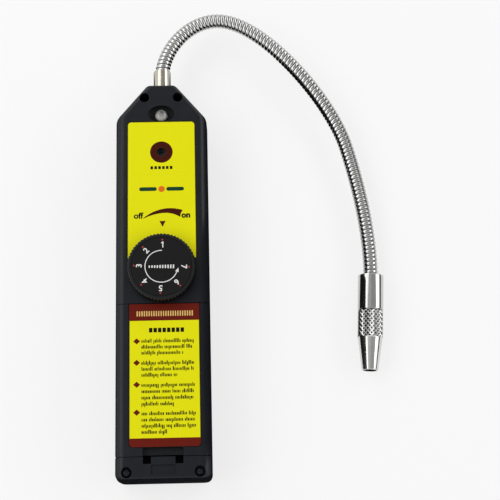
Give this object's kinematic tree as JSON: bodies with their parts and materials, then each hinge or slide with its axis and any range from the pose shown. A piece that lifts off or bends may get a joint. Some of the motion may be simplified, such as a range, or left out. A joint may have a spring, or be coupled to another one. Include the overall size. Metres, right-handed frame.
{
  "type": "refrigerant leak detector",
  "caption": "Hand-held gas leak detector: a long case with a sensitivity knob, battery cover and buzzer, and a bendable chromed neck that carries a sensor head with a screwed guard.",
  "frame": {"origin": "middle of the case's flat back face, which lies on the bench", "axes": "+X towards the case's right side seen from the front, +Y from the battery end to the neck, +Z out of the front face"},
  "size_m": [0.1455, 0.2644, 0.0392],
  "materials": {
    "case_plastic": "black moulded plastic with a fine satin grain",
    "label_film": "printed yellow film with maroon fields",
    "clear_lens": "clear domed lens",
    "knob_plastic": "black moulded plastic, fluted rim",
    "black_plastic": "plain black plastic",
    "plated_steel": "plated steel",
    "chrome_plate": "bright chrome plate",
    "board_laminate": "green circuit laminate",
    "potting": "black potting compound",
    "cell_jacket": "wrapped steel can of a battery cell",
    "component_case": "metal can and wound core",
    "ceramic_white": "white ceramic",
    "lead_rubber": "black rubber sheath"
  },
  "bodies": {
    "case": {"front_shell": "case_plastic", "rear_shell": "case_plastic", "front_label": "label_film", "led_lens": "clear_lens", "led_holder": "black_plastic", "buzzer": "black_plastic", "potentiometer": "plated_steel", "pot_nut": "plated_steel", "main_board": "board_laminate", "timer_chip": "black_plastic", "amplifier_chip": "black_plastic", "step_up_transformer": "component_case", "trimmer": "potting", "smoothing_capacitor": "component_case", "tone_capacitor": "component_case", "high_voltage_module": "potting", "board_screw_1": "plated_steel", "board_screw_2": "plated_steel", "board_screw_3": "plated_steel", "board_screw_4": "plated_steel", "case_screw_1": "plated_steel", "case_screw_2": "plated_steel", "case_screw_3": "plated_steel", "case_screw_4": "plated_steel", "battery_1": "cell_jacket", "battery_2": "cell_jacket", "battery_3": "cell_jacket", "battery_spring_1": "plated_steel", "battery_spring_2": "plated_steel", "battery_spring_3": "plated_steel", "upper_contact_1": "plated_steel", "upper_contact_2": "plated_steel", "upper_contact_3": "plated_steel", "lower_contact_1": "plated_steel", "lower_contact_2": "plated_steel", "lower_contact_3": "plated_steel", "neck_ferrule": "chrome_plate", "neck_nut": "plated_steel", "gooseneck": "chrome_plate", "sensor_lead": "lead_rubber"},
    "knob": {"sensitivity_knob": "knob_plastic", "dial_plate": "knob_plastic", "pot_shaft": "plated_steel"},
    "cover": {"battery_cover": "case_plastic", "cover_label": "label_film"},
    "probe_head": {"probe_socket": "chrome_plate", "sensor_holder": "ceramic_white", "sensor_electrode": "plated_steel"},
    "guard": {"tip_guard": "chrome_plate"}
  },
  "joints": [
    {"name": "knob_turn", "type": "hinge", "parent": "case", "child": "knob", "pos_m": [0, 0.002, 0.036], "axis": [0, 0, 1], "range_deg": [-270, 30]},
    {"name": "cover_tilt", "type": "hinge", "parent": "case", "child": "cover", "pos_m": [0, -0.0161, 0.032], "axis": [-1, 0, 0], "range_deg": [0, 55]},
    {"name": "neck_bend", "type": "hinge", "parent": "case", "child": "probe_head", "pos_m": [0.062, 0.1385, 0.013], "axis": [0, 0, 1], "range_deg": [-12, 40], "deforming": ["gooseneck", "sensor_lead"]},
    {"name": "tip_guard_off", "type": "slide", "parent": "probe_head", "child": "guard", "axis": [-0.0576, -0.9983, 0], "range_m": [0, 0.05]}
  ]
}
